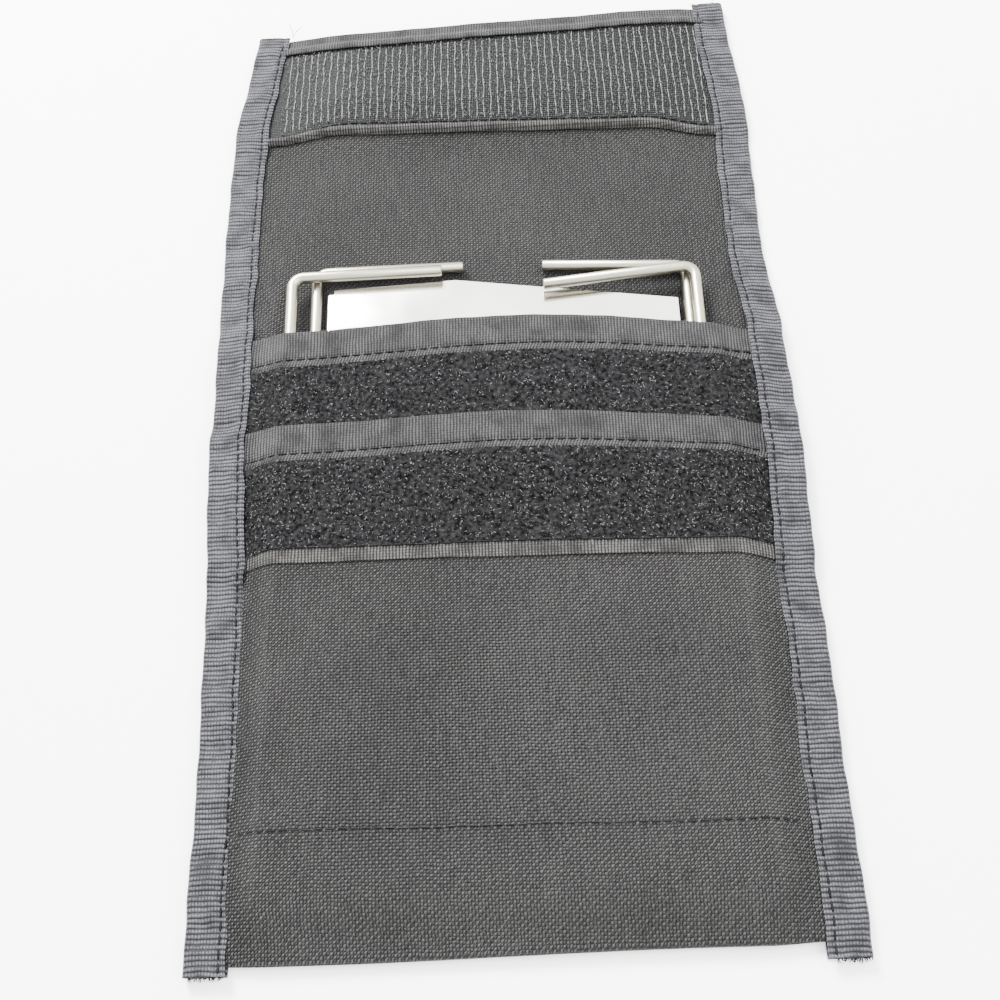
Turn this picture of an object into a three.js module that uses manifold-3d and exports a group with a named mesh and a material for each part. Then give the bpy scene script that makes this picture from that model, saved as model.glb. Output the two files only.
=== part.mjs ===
// A flat nylon pouch lying open on its back, with a folded steel stove in its rear pocket.
//
// Frame: millimetres, +Z up from the table, +Y from the bottom fold towards the flap's free end, +X across.
// The origin is under the middle of the whole pouch, on the table.
//
// The cloth is one length folded at the bottom: front panel, bottom fold, back panel, flap. A second, inner
// panel divides it into a rear and a front pocket. Folded tape binds both sides, both pocket mouths and the
// flap's end. The flap folds over in two steps, one at each end of a short fold panel.

import * as THREE from 'three';
import { mergeVertices } from 'three/addons/utils/BufferGeometryUtils.js';
import Module from 'manifold-3d';

const manifold = await Module();
manifold.setup();

// Driving dimensions -------------------------------------------------------------------------------------

const pouchWidth = 168;
const bodyLength = 209; // bottom fold to the flap's crease
const foldLength = 15; // cloth that turns over the edge of the filled pouch
const flapLength = 80; // end of the fold panel to the flap's free end, on the centre line
const flapEndSkew = 3.3; // the free end is cut a little out of square: this much longer at the right edge
const flapEndTaper = 0.03; // share of its width that the flap loses at its free end
const taperLength = 20;

const clothThickness = 0.7;
const tapeThickness = 0.4;
const tapeWidth = 11.5; // one leaf of the folded binding tape
const endTapeWidth = 7.5; // the tape on the flap's end is folded further over to the outside
const stripThickness = 1.0; // hook and loop strips
const clearance = 0.25; // between pieces that lie on each other
const cutEndOverhang = 2.5; // side tapes stick out past the bottom fold

const middleMouth = 178.5; // top edge of the rear pocket's front wall
const frontMouth = 145;
const frontPocketFloor = 28;
const middleStripLow = 129;
const frontStripLow = 103;
const hookStripLow = 254.5;
const hookStripSkew = -2.1;

const wireDiameter = 3.4;
const wireBendRadius = 3; // to the middle of the wire
const stoveFoot = 16; // lowest point of both wire frames inside the pocket
const sheetSteel = 0.5;

// Derived dimensions -------------------------------------------------------------------------------------

const halfWidth = pouchWidth / 2;
const tapeInner = halfWidth - tapeWidth;
const clothHalf = halfWidth - tapeThickness - clearance;
const innerSpan = tapeInner - clearance; // half length of what lies between the two side tapes
const flapStart = bodyLength + foldLength;
const flapEnd = flapStart + flapLength;

const layer = clothThickness + clearance;
const backEdge = tapeThickness + clearance;
const mouthLeaf = tapeThickness + clearance;
const middleEdge = backEdge + layer + mouthLeaf;
const frontEdge = middleEdge + layer + stripThickness + clearance + mouthLeaf;
const bodyTapeTop = frontEdge + layer;
const singleTapeTop = backEdge + layer;

const stoveFloor = singleTapeTop;
const innerAxis = stoveFloor + wireDiameter / 2;
const outerAxis = innerAxis + wireDiameter + clearance;
const stoveTop = outerAxis + wireDiameter / 2;

const middleHeight = stoveTop + clearance;
const frontHeight = middleHeight + layer;
const frontMouthHeight = frontHeight + stripThickness + clearance + mouthLeaf;

const bedEdge = 71.5; // outside this the panels lie flat in the side tapes
const shoulder = 66.5; // inside this they lie on the stove

// Where the cloth lies: height of a layer's underside ------------------------------------------------------
// The back panel, the fold and the flap lie flat, at backEdge, on the lower leaves of their tapes. The other
// two panels are flat only in the side tapes and rise over the stove between them.

// Evenly spaced values from one to the other, both included.
function stretch(from, to, steps) {
  return Array.from({ length: steps + 1 }, (unused, i) => THREE.MathUtils.lerp(from, to, i / steps));
}

function ramp(value, from, to) {
  return THREE.MathUtils.clamp((value - from) / (to - from), 0, 1);
}

function acrossPouch(x, edgeHeight, middleOfPouchHeight) {
  return THREE.MathUtils.lerp(middleOfPouchHeight, edgeHeight, ramp(Math.abs(x), shoulder, bedEdge));
}

// The middle panel rises at its mouth, over the tape's rear leaf.
const middleStripHigh = middleMouth - tapeWidth - clearance;
const middleRise = [middleStripHigh - 4, middleStripHigh];
const middleBends = stretch(...middleRise, 4);

function middleCloth(x, y) {
  const lift = mouthLeaf * ramp(y, ...middleRise);
  return acrossPouch(x, middleEdge, middleHeight + lift);
}

// The front panel rises from the bottom fold over the stove, and again over the middle loop strip.
const foldRise = [1, stoveFoot - 3];
const stripRise = [middleStripLow - 9, middleStripLow - 1];
const frontBends = [...foldRise, ...stretch(...stripRise, 10)];

function frontCloth(x, y) {
  const overStove = THREE.MathUtils.lerp(frontHeight, frontMouthHeight, ramp(y, ...stripRise));
  const fromFold = THREE.MathUtils.lerp(singleTapeTop, overStove, ramp(y, ...foldRise));
  return acrossPouch(x, frontEdge, fromFold);
}

function flapFreeEnd(x) {
  return flapEnd + flapEndSkew * x / halfWidth;
}

function hookStripLowEdge(x) {
  return hookStripLow + hookStripSkew * x / halfWidth;
}

// Shapes ---------------------------------------------------------------------------------------------------

// Moves every vertex of a geometry: move(point) changes the point in place.
function reshape(geometry, move) {
  const position = geometry.getAttribute('position');
  const point = new THREE.Vector3();
  for (let i = 0; i < position.count; i += 1) {
    point.fromBufferAttribute(position, i);
    move(point);
    position.setXYZ(i, point.x, point.y, point.z);
  }
  geometry.computeVertexNormals();
  return geometry;
}

// Places across a sheet of this half width: its two edges and where the cloth bends.
function columnsAcross(halfSpan) {
  return [-halfSpan, -bedEdge, -shoulder, shoulder, bedEdge, halfSpan];
}

// A layer of cloth: a thin box cut into columns and rows, laid over height(x, y). Its two ends are given
// as functions of x, and bends are the places along it where it changes height.
function clothSheet({ halfSpan, low, high, thickness, height, bends = [] }) {
  const columns = columnsAcross(halfSpan);
  const inner = bends.filter((y) => y > low(0) + clearance && y < high(0) - clearance);
  const box = new THREE.BoxGeometry(1, 1, 1, columns.length - 1, inner.length + 1, 1);
  return reshape(box, (point) => {
    const x = columns[Math.round((point.x + 0.5) * (columns.length - 1))];
    const rows = [low(x), ...inner, high(x)];
    const y = rows[Math.round((point.y + 0.5) * (rows.length - 1))];
    point.set(x, y, height(x, y) + (point.z > 0 ? thickness : 0));
  });
}

// Outline of a tape folded round an edge: two leaves and the web between them. The web is at 0.
function foldedTape(lowerWidth, upperWidth, opening) {
  const outline = new THREE.Shape();
  outline.moveTo(0, 0);
  outline.lineTo(-lowerWidth, 0);
  outline.lineTo(-lowerWidth, tapeThickness);
  outline.lineTo(-tapeThickness, tapeThickness);
  outline.lineTo(-tapeThickness, tapeThickness + opening);
  outline.lineTo(-upperWidth, tapeThickness + opening);
  outline.lineTo(-upperWidth, 2 * tapeThickness + opening);
  outline.lineTo(0, 2 * tapeThickness + opening);
  outline.closePath();
  return outline;
}

// Side tape along +Y on the right (side 1) or left (side -1) edge, cut into stretches at the given rows.
function sideTape(side, rows, upperLeaf) {
  const opening = singleTapeTop - tapeThickness;
  const tape = new THREE.ExtrudeGeometry(foldedTape(tapeWidth, tapeWidth, opening), {
    depth: 1,
    steps: rows.length - 1,
    bevelEnabled: false,
  });
  reshape(tape, (point) => {
    const y = rows[Math.round(point.z * (rows.length - 1))];
    const lift = point.y > tapeThickness * 1.5 ? upperLeaf(y) - singleTapeTop : 0;
    point.set(side * (halfWidth + point.x), y, point.y + lift);
  });
  return side > 0 ? flipFaces(tape) : tape;
}

// Tape across the pouch, folded round the upper edge of a panel that lies at clothHeight.
function crossTape({ edge, lowerWidth, upperWidth, clothHeight }) {
  const outline = foldedTape(lowerWidth, upperWidth, clothThickness + 2 * clearance);
  const columns = columnsAcross(innerSpan);
  const tape = new THREE.ExtrudeGeometry(outline, { depth: 1, steps: columns.length - 1, bevelEnabled: false });
  return reshape(tape, (point) => {
    const x = columns[Math.round(point.z * (columns.length - 1))];
    const underCloth = clothHeight(x) - clearance - tapeThickness;
    point.set(x, edge(x) + point.x, underCloth + point.y);
  });
}

function flipFaces(geometry) {
  const plain = geometry.index ? geometry.toNonIndexed() : geometry;
  const position = plain.getAttribute('position');
  const first = new THREE.Vector3();
  const second = new THREE.Vector3();
  for (let i = 0; i < position.count; i += 3) {
    first.fromBufferAttribute(position, i);
    second.fromBufferAttribute(position, i + 1);
    position.setXYZ(i, second.x, second.y, second.z);
    position.setXYZ(i + 1, first.x, first.y, first.z);
  }
  plain.computeVertexNormals();
  return plain;
}

// The flap narrows a little over its last stretch.
const taperBends = [flapEnd - taperLength, flapEnd - taperLength / 2];

function taperFlap(geometry) {
  return reshape(geometry, (point) => {
    const share = ramp(point.y, flapEnd - taperLength, flapEnd);
    point.x *= 1 - flapEndTaper * share * share;
  });
}

// A curve through a list of corners, stepped corner by corner, so that a tube along it bends only there.
class CornerCurve extends THREE.Curve {
  constructor(corners) {
    super();
    this.corners = corners;
  }

  getPoint(t, target = new THREE.Vector3()) {
    const place = THREE.MathUtils.clamp(t, 0, 1) * (this.corners.length - 1);
    const index = Math.min(Math.floor(place), this.corners.length - 2);
    return target.lerpVectors(this.corners[index], this.corners[index + 1], place - index);
  }

  getUtoTmapping(u) {
    return u;
  }
}

// Corners of a wire bent round each point of a route, with an arc of the bend radius at every inner point.
function bentRoute(route) {
  const bendSteps = 4;
  const corners = [route[0]];
  for (let i = 1; i < route.length - 1; i += 1) {
    const back = route[i - 1].clone().sub(route[i]).normalize();
    const ahead = route[i + 1].clone().sub(route[i]).normalize();
    const halfAngle = back.angleTo(ahead) / 2;
    const centre = back.clone().add(ahead).normalize().multiplyScalar(wireBendRadius / Math.sin(halfAngle));
    centre.add(route[i]);
    const start = back.multiplyScalar(wireBendRadius / Math.tan(halfAngle)).add(route[i]).sub(centre);
    const end = ahead.multiplyScalar(wireBendRadius / Math.tan(halfAngle)).add(route[i]).sub(centre);
    const sweep = start.angleTo(end);
    const axis = start.clone().cross(end).normalize();
    for (let step = 0; step <= bendSteps; step += 1) {
      corners.push(start.clone().applyAxisAngle(axis, sweep * step / bendSteps).add(centre));
    }
  }
  corners.push(route[route.length - 1]);
  return corners;
}

function wireAlong(route) {
  const corners = bentRoute(route);
  const section = new THREE.Shape().absarc(0, 0, wireDiameter / 2, 0, 2 * Math.PI);
  return new THREE.ExtrudeGeometry(section, {
    extrudePath: new CornerCurve(corners),
    steps: corners.length - 1,
    curveSegments: 10,
    bevelEnabled: false,
  });
}

// Booleans -------------------------------------------------------------------------------------------------

function toSolid(geometry) {
  const bare = geometry.clone();
  bare.deleteAttribute('normal');
  bare.deleteAttribute('uv');
  const merged = mergeVertices(bare, 1e-4);
  return new manifold.Manifold(new manifold.Mesh({
    numProp: 3,
    vertProperties: merged.getAttribute('position').array,
    triVerts: merged.getIndex().array,
  }));
}

function join(geometries) {
  const solid = geometries.map(toSolid).reduce((whole, part) => whole.add(part));
  const mesh = solid.getMesh();
  const joined = new THREE.BufferGeometry();
  joined.setAttribute('position', new THREE.BufferAttribute(new Float32Array(mesh.vertProperties), 3));
  joined.setIndex(new THREE.BufferAttribute(new Uint32Array(mesh.triVerts), 1));
  joined.computeVertexNormals();
  return joined;
}

// Materials ------------------------------------------------------------------------------------------------

function nylonCloth() {
  return new THREE.MeshStandardMaterial({ color: 0x35353a, roughness: 0.75, metalness: 0 });
}

function bindingTape() {
  return new THREE.MeshStandardMaterial({ color: 0x4b4c56, roughness: 0.65, metalness: 0 });
}

function loopPile() {
  return new THREE.MeshStandardMaterial({ color: 0x242428, roughness: 0.95, metalness: 0 });
}

function hookTape() {
  return new THREE.MeshStandardMaterial({ color: 0x2c2c30, roughness: 0.6, metalness: 0 });
}

function drawnWire() {
  return new THREE.MeshStandardMaterial({ color: 0xb9b3a5, roughness: 0.35, metalness: 1 });
}

function rolledSheet() {
  return new THREE.MeshStandardMaterial({ color: 0xd9d6cd, roughness: 0.18, metalness: 1 });
}

function piece(name, geometry, material) {
  const mesh = new THREE.Mesh(geometry, material);
  mesh.name = name;
  return mesh;
}

// The body: three panels, their tapes and two loop strips ----------------------------------------------------

function backPanel() {
  return piece('back_panel', clothSheet({
    halfSpan: clothHalf,
    low: () => 0,
    high: () => bodyLength - clearance,
    thickness: clothThickness,
    height: () => backEdge,
  }), nylonCloth());
}

function middlePanel() {
  return piece('middle_panel', clothSheet({
    halfSpan: clothHalf,
    low: () => frontPocketFloor,
    high: () => middleMouth - tapeThickness - clearance,
    thickness: clothThickness,
    height: middleCloth,
    bends: middleBends,
  }), nylonCloth());
}

function frontPanel() {
  return piece('front_panel', clothSheet({
    halfSpan: clothHalf,
    low: () => 0,
    high: () => frontMouth - tapeThickness - clearance,
    thickness: clothThickness,
    height: frontCloth,
    bends: frontBends,
  }), nylonCloth());
}

function mouthTape(name, mouth, clothHeight) {
  return piece(name, crossTape({
    edge: () => mouth,
    lowerWidth: tapeWidth,
    upperWidth: tapeWidth,
    clothHeight: (x) => clothHeight(x, mouth),
  }), bindingTape());
}

function loopStrip(name, low, mouth, clothHeight, bends) {
  return piece(name, clothSheet({
    halfSpan: innerSpan,
    low: () => low,
    high: () => mouth - tapeWidth - clearance,
    thickness: stripThickness,
    height: (x, y) => clothHeight(x, y) + layer,
    bends,
  }), loopPile());
}

function bodySideTape(name, side) {
  const thinning = [middleMouth, middleMouth + 8]; // above the mouth the tape holds the back panel alone
  const upperLeaf = (y) => THREE.MathUtils.lerp(bodyTapeTop, singleTapeTop, ramp(y, ...thinning));
  return piece(name, sideTape(side, [-cutEndOverhang, ...thinning, bodyLength - clearance], upperLeaf), bindingTape());
}

// The fold: cloth and tapes that turn over the edge of the pouch when it is shut ------------------------------

function foldPanel() {
  return piece('fold_panel', clothSheet({
    halfSpan: clothHalf,
    low: () => bodyLength + clearance,
    high: () => flapStart - clearance,
    thickness: clothThickness,
    height: () => backEdge,
  }), nylonCloth());
}

function foldSideTape(name, side) {
  const rows = [bodyLength + clearance, flapStart - clearance];
  return piece(name, sideTape(side, rows, () => singleTapeTop), bindingTape());
}

// The flap: panel, hook strip and three tapes -----------------------------------------------------------------

function flapPanel() {
  return piece('flap_panel', taperFlap(clothSheet({
    halfSpan: clothHalf,
    low: () => flapStart + clearance,
    high: (x) => flapFreeEnd(x) - tapeThickness - clearance,
    thickness: clothThickness,
    height: () => backEdge,
    bends: taperBends,
  })), nylonCloth());
}

function hookStrip() {
  return piece('hook_strip', taperFlap(clothSheet({
    halfSpan: innerSpan,
    low: hookStripLowEdge,
    high: (x) => flapFreeEnd(x) - endTapeWidth - clearance,
    thickness: stripThickness,
    height: () => singleTapeTop,
    bends: [taperBends[0]],
  })), hookTape());
}

function flapSideTape(name, side) {
  const rows = [flapStart + clearance, ...taperBends, flapFreeEnd(side * halfWidth) + 1];
  return piece(name, taperFlap(sideTape(side, rows, () => singleTapeTop)), bindingTape());
}

function flapEndTape() {
  return piece('flap_end_binding', taperFlap(crossTape({
    edge: flapFreeEnd,
    lowerWidth: 2 * tapeWidth - endTapeWidth,
    upperWidth: endTapeWidth,
    clothHeight: () => backEdge,
  })), bindingTape());
}

// The folded stove: two wire frames and a two-leaf tray -------------------------------------------------------

// Route of a C-shaped frame: horn tip, down one side, along the foot, up the other side, horn tip.
function frameRoute({ left, right, top, leftHorn, rightHorn, axis }) {
  const point = (x, y) => new THREE.Vector3(x, y, axis);
  const foot = stoveFoot + wireDiameter / 2;
  return [
    point(leftHorn.x, leftHorn.y),
    point(left, top.left),
    point(left, foot),
    point(right, foot),
    point(right, top.right),
    point(rightHorn.x, rightHorn.y),
  ];
}

function outerFrame() {
  return piece('outer_frame', wireAlong(frameRoute({
    left: -64,
    right: 59.4,
    top: { left: 199.1, right: 197.8 },
    leftHorn: { x: -18, y: 199.8 },
    rightHorn: { x: 13, y: 193.1 },
    axis: outerAxis,
  })), drawnWire());
}

function innerFrame() {
  return piece('inner_frame', wireAlong(frameRoute({
    left: -57,
    right: 57.2,
    top: { left: 203, right: 200.4 },
    leftHorn: { x: -11.5, y: 203.3 },
    rightHorn: { x: 13, y: 202.6 },
    axis: innerAxis,
  })), drawnWire());
}

const trayLeft = -52.8; // hinge line of the tray's two leaves
const trayRight = 53.9;
const trayFoot = 22;
const knuckleRadius = 1;
const pinRadius = 0.4;
const hingeHeight = stoveFloor + knuckleRadius;
const hingeTop = 195;

function trayLeaf(name, height, knuckles) {
  const leafLeft = trayLeft + knuckleRadius + clearance;
  const outline = new THREE.Shape();
  outline.moveTo(leafLeft, trayFoot);
  outline.lineTo(trayRight, trayFoot);
  outline.lineTo(trayRight, 188.5);
  outline.lineTo(-14, 198.3);
  outline.lineTo(leafLeft, 196.3);
  outline.closePath();
  const leaf = new THREE.ExtrudeGeometry(outline, { depth: sheetSteel, bevelEnabled: false });
  leaf.translate(0, 0, height);
  const ring = new THREE.Shape().absarc(0, 0, knuckleRadius, 0, 2 * Math.PI);
  ring.holes.push(new THREE.Path().absarc(0, 0, pinRadius + clearance / 2, 0, 2 * Math.PI));
  const rolled = knuckles.flatMap(([low, high]) => {
    const knuckle = new THREE.ExtrudeGeometry(ring, { depth: high - low, curveSegments: 8, bevelEnabled: false });
    knuckle.rotateX(Math.PI / 2);
    knuckle.translate(trayLeft, high, hingeHeight);
    const tab = new THREE.BoxGeometry(leafLeft - trayLeft + 1, high - low, sheetSteel);
    tab.translate((leafLeft + trayLeft + 1) / 2, (low + high) / 2, height + sheetSteel / 2);
    return [knuckle, tab];
  });
  return piece(name, join([leaf, ...rolled]), rolledSheet());
}

function tray() {
  const knuckleCount = 5;
  const pitch = (hingeTop - trayFoot) / knuckleCount;
  const spans = [];
  for (let i = 0; i < knuckleCount; i += 1) {
    const low = trayFoot + i * pitch;
    spans.push([low + clearance, low + pitch - clearance]);
  }
  const pin = new THREE.CylinderGeometry(pinRadius, pinRadius, hingeTop - trayFoot, 12);
  pin.translate(trayLeft, (hingeTop + trayFoot) / 2, hingeHeight);
  return [
    trayLeaf('tray_back_leaf', stoveFloor, spans.filter((span, i) => i % 2 === 1)),
    trayLeaf('tray_front_leaf', hingeHeight + knuckleRadius - sheetSteel, spans.filter((span, i) => i % 2 === 0)),
    piece('tray_hinge_pin', pin, drawnWire()),
  ];
}

// Assembly -----------------------------------------------------------------------------------------------------

const stove = new THREE.Group();
stove.add(outerFrame(), innerFrame(), ...tray());

const pouch = new THREE.Group();
pouch.add(
  backPanel(),
  middlePanel(),
  frontPanel(),
  bodySideTape('left_side_binding', -1),
  bodySideTape('right_side_binding', 1),
  mouthTape('middle_mouth_binding', middleMouth, middleCloth),
  mouthTape('front_mouth_binding', frontMouth, frontCloth),
  loopStrip('middle_loop_strip', middleStripLow, middleMouth, middleCloth, middleBends),
  loopStrip('front_loop_strip', frontStripLow, frontMouth, frontCloth, frontBends),
  foldPanel(),
  foldSideTape('left_fold_binding', -1),
  foldSideTape('right_fold_binding', 1),
  flapPanel(),
  hookStrip(),
  flapSideTape('left_flap_binding', -1),
  flapSideTape('right_flap_binding', 1),
  flapEndTape(),
  stove,
);
pouch.position.y = -(flapFreeEnd(halfWidth) + 1 - cutEndOverhang) / 2;

const part = new THREE.Group();
part.add(pouch);

export default part;
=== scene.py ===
import bpy
import numpy as np
from mathutils import Matrix, Vector


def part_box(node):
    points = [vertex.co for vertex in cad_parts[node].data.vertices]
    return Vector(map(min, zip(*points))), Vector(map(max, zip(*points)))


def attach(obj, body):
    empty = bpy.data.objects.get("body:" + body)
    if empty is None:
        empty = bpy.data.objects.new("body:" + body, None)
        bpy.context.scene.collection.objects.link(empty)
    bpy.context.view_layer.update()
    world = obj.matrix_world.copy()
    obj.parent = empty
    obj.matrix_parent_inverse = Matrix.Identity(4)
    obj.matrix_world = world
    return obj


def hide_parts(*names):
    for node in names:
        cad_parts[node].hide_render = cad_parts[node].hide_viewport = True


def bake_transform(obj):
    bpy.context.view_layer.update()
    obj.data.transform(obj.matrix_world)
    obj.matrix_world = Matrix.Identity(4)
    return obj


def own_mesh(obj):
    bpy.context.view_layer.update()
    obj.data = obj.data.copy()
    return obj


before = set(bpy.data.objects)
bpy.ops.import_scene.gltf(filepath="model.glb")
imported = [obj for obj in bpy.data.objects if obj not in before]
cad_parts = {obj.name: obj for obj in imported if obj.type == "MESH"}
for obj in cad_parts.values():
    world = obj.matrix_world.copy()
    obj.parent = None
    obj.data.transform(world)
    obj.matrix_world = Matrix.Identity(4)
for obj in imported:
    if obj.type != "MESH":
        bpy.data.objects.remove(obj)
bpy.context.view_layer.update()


# The table, the light and the camera ------------------------------------------
# A plain pale table under wide soft light, and a camera looking down at the open pouch from its
# bottom fold. From here on lengths are in millimetres, with y counted from the bottom fold.

bottom_fold_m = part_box("back_panel")[0].y


def on_frame(points):
    """Millimetres from the bottom fold, turned into the frame's metres."""
    return np.asarray(points, float) * 0.001 + np.array([0.0, bottom_fold_m, 0.0])


class Finish:
    """A material being mixed. Each call adds one node and returns its output."""

    def __init__(self, name, roughness, metallic=0.0, specular=0.5):
        self.material = bpy.data.materials.new(name)
        self.material.use_nodes = True
        self.tree = self.material.node_tree
        self.shader = self.tree.nodes["Principled BSDF"]
        self.shader.inputs["Roughness"].default_value = roughness
        self.shader.inputs["Metallic"].default_value = metallic
        self.shader.inputs["Specular IOR Level"].default_value = specular

    def join(self, value, socket):
        if isinstance(value, bpy.types.NodeSocket):
            self.tree.links.new(value, socket)
        else:
            socket.default_value = value

    def math(self, operation, a, b=0.0):
        node = self.tree.nodes.new("ShaderNodeMath")
        node.operation = operation
        self.join(a, node.inputs[0])
        self.join(b, node.inputs[1])
        return node.outputs[0]

    def times(self, a, b):
        return self.math("MULTIPLY", a, b)

    def bumps(self, value, pitch):
        """|sin(pi value / pitch)|: one bump on every pitch."""
        return self.math("ABSOLUTE", self.math("SINE", self.times(value, np.pi / pitch)))

    def parts(self, vector):
        """A vector's x and y."""
        split = self.tree.nodes.new("ShaderNodeSeparateXYZ")
        self.join(vector, split.inputs[0])
        return split.outputs[0], split.outputs[1]

    def flat_cloth(self):
        """The two UV coordinates: metres across and along the flat cloth."""
        node = self.tree.nodes.new("ShaderNodeUVMap")
        node.uv_map = "flat"
        return self.parts(node.outputs[0])

    def place(self):
        """The point itself, in metres."""
        return self.tree.nodes.new("ShaderNodeTexCoord").outputs["Object"]

    def vector(self, x, y, z=0.0):
        node = self.tree.nodes.new("ShaderNodeCombineXYZ")
        for value, socket in zip((x, y, z), node.inputs):
            self.join(value, socket)
        return node.outputs[0]

    def noise(self, where, scale, detail=2.0):
        node = self.tree.nodes.new("ShaderNodeTexNoise")
        self.join(where, node.inputs["Vector"])
        node.inputs["Scale"].default_value = scale
        node.inputs["Detail"].default_value = detail
        return node.outputs[0]

    def streaks(self, u, v, u_scale, v_scale):
        """Noise with its own scale along each of two coordinates, so that it can be drawn out."""
        return self.noise(self.vector(self.times(u, u_scale), self.times(v, v_scale)), 1.0)

    def spread(self, value, low, high, to_low=0.0, to_high=1.0):
        """Value from low to high, carried to the range from to_low to to_high and clamped."""
        node = self.tree.nodes.new("ShaderNodeMapRange")
        self.join(value, node.inputs["Value"])
        ends = {"From Min": low, "From Max": high, "To Min": to_low, "To Max": to_high}
        for name, number in ends.items():
            node.inputs[name].default_value = number
        return node.outputs[0]

    def blend(self, share, first, second):
        """Colour between two colours."""
        node = self.tree.nodes.new("ShaderNodeMix")
        node.data_type = "RGBA"
        self.join(share, node.inputs[0])
        for value, socket in ((first, node.inputs[6]), (second, node.inputs[7])):
            self.join(value if isinstance(value, bpy.types.NodeSocket) else (*value, 1.0), socket)
        return node.outputs[2]

    def finish(self, color, height=None, depth=0.0, roughness=None):
        self.join(color, self.shader.inputs["Base Color"])
        if roughness is not None:
            self.join(roughness, self.shader.inputs["Roughness"])
        if height is not None:
            bump = self.tree.nodes.new("ShaderNodeBump")
            bump.inputs["Strength"].default_value = 1.0
            bump.inputs["Distance"].default_value = depth
            self.join(height, bump.inputs["Height"])
            self.join(bump.outputs[0], self.shader.inputs["Normal"])
        return self.material


def table_top():
    mix = Finish("pale_table", 0.6, specular=0.2)
    patches = mix.noise(mix.place(), 6.0)
    return mix.finish(mix.blend(patches, (0.90, 0.89, 0.88), (0.93, 0.93, 0.92)))


reach = 3.0
table_corners = [(-reach, -reach, 0), (reach, -reach, 0), (reach, reach, 0), (-reach, reach, 0)]
table_mesh = bpy.data.meshes.new("table")
table_mesh.from_pydata(table_corners, [], [(0, 1, 2, 3)])
table_mesh.materials.append(table_top())
table = bpy.data.objects.new("table", table_mesh)
bpy.context.scene.collection.objects.link(table)

world = bpy.data.worlds.new("room")
world.use_nodes = True
sky = world.node_tree.nodes["Background"]
sky.inputs["Color"].default_value = (1.0, 1.0, 1.0, 1.0)
sky.inputs["Strength"].default_value = 4.6
bpy.context.scene.world = world


def soft_light(name, place_m, size_m, watts):
    """A square lamp aimed at the middle of the pouch."""
    light = bpy.data.lights.new(name, "AREA")
    light.size = size_m
    light.energy = watts
    lamp = bpy.data.objects.new(name, light)
    bpy.context.scene.collection.objects.link(lamp)
    lamp.location = place_m
    lamp.rotation_mode = "QUATERNION"
    lamp.rotation_quaternion = (-Vector(place_m)).to_track_quat("-Z", "Y")


soft_light("window_light", (-0.5, 0.9, 0.9), 0.5, 120.0)
soft_light("room_light", (0.7, 0.1, 1.1), 0.9, 30.0)

azimuth, elevation, roll = np.radians([3.02, 65.0, -4.97])
aim = on_frame([-2.24, 124.35, 0.0])
distance_m = 0.362
back = np.array([
    np.sin(azimuth) * np.cos(elevation),
    -np.cos(azimuth) * np.cos(elevation),
    np.sin(elevation),
])
level = np.cross([0, 0, 1], back)
level /= np.linalg.norm(level)
upright = np.cross(back, level)
right = np.cos(roll) * level + np.sin(roll) * upright
top = np.cos(roll) * upright - np.sin(roll) * level
camera_data = bpy.data.cameras.new("camera")
camera_data.lens = 45.36
camera_data.sensor_width = 36.0
camera_data.clip_start = 0.01
camera = bpy.data.objects.new("camera", camera_data)
bpy.context.scene.collection.objects.link(camera)
turned = Matrix(np.array([right, top, back]).T.tolist()).to_4x4()
camera.matrix_world = Matrix.Translation(aim + back * distance_m) @ turned
bpy.context.scene.camera = camera


# Back cloth -------------------------------------------------------------------
# The long panel that lies on the table: the pouch's back and the first half of the fold. Heavy
# plain-weave nylon, cut as one strip with the flap and held in the side tapes.

fold_middle = 216.5  # the cloth of the fold is shared between the back and the flap here
crease, flap_start, flap_end = 209.0, 224.0, 304.3
hinge_end = 240.0  # past this the flap's cloth no longer bends
tape_leaf = 10.6
cloth_thickness = 0.65
lying_height = 0.95  # middle of the cloth above the table, with the tape's back leaf under its edges
hem = 0.9  # the cloth ends this far inside the fold of a side tape
sharp_angle = 1.2  # radians between two faces


def smooth(t):
    """0 below 0, 1 above 1, and an even S between."""
    t = np.clip(t, 0.0, 1.0)
    return t * t * (3.0 - 2.0 * t)


def ripple(y, seed):
    """Uneven hand-sewn waviness between about -1 and 1: three sines of unlike length."""
    return (0.5 * np.sin(y / 9.7 + 1.7 * seed) + 0.3 * np.sin(y / 3.9 + 2.9 * seed)
            + 0.2 * np.sin(y / 1.7 + 4.1 * seed))


def eased_line(knots, y):
    """A line through a few (y, x) knots, with its corners rounded over 12 mm."""
    ys, xs = np.array(knots, float).T
    return np.mean([np.interp(y + shift, ys, xs) for shift in (-6, -3, 0, 3, 6)], axis=0)


def outer_edge(side, y):
    """x of the side tape's outside: bowed at the mouths, kinked at the crease, drawn in at the end."""
    if side < 0:
        knots = [(0, -83.1), (70, -83.4), (130, -85.7), (203, -86.8),
                 (226, -87.6), (263, -86.1), (304, -80.6)]
    else:
        knots = [(0, 84.9), (95, 84.2), (152, 84.7), (183, 83.7),
                 (206, 81.2), (217, 82.3), (268, 82.2), (308, 78.9)]
    return eased_line(knots, y) + 0.45 * ripple(y, 3 + side)


def across(u, y, inset):
    """x at share u of the way from the left edge to the right one, both set in by inset."""
    low = outer_edge(-1, y) + inset
    high = outer_edge(1, y) - inset
    return low + (high - low) * u


def edge_lift(x, y):
    """The filled pouch pulls its side seams up off the table, most of all beside the mouths."""
    beside_mouths = 3.2 * np.exp(-((y - 162.0) / 36.0) ** 2)
    all_along = 0.7 * smooth((y - 5.0) / 30.0) * smooth((235.0 - y) / 25.0)
    slope = smooth((np.abs(x) - 61.0) / 11.0)
    outer_droop = 1.0 - 0.5 * smooth((np.abs(x) - 74.0) / 10.0)
    return (beside_mouths + all_along) * slope * outer_droop


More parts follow.
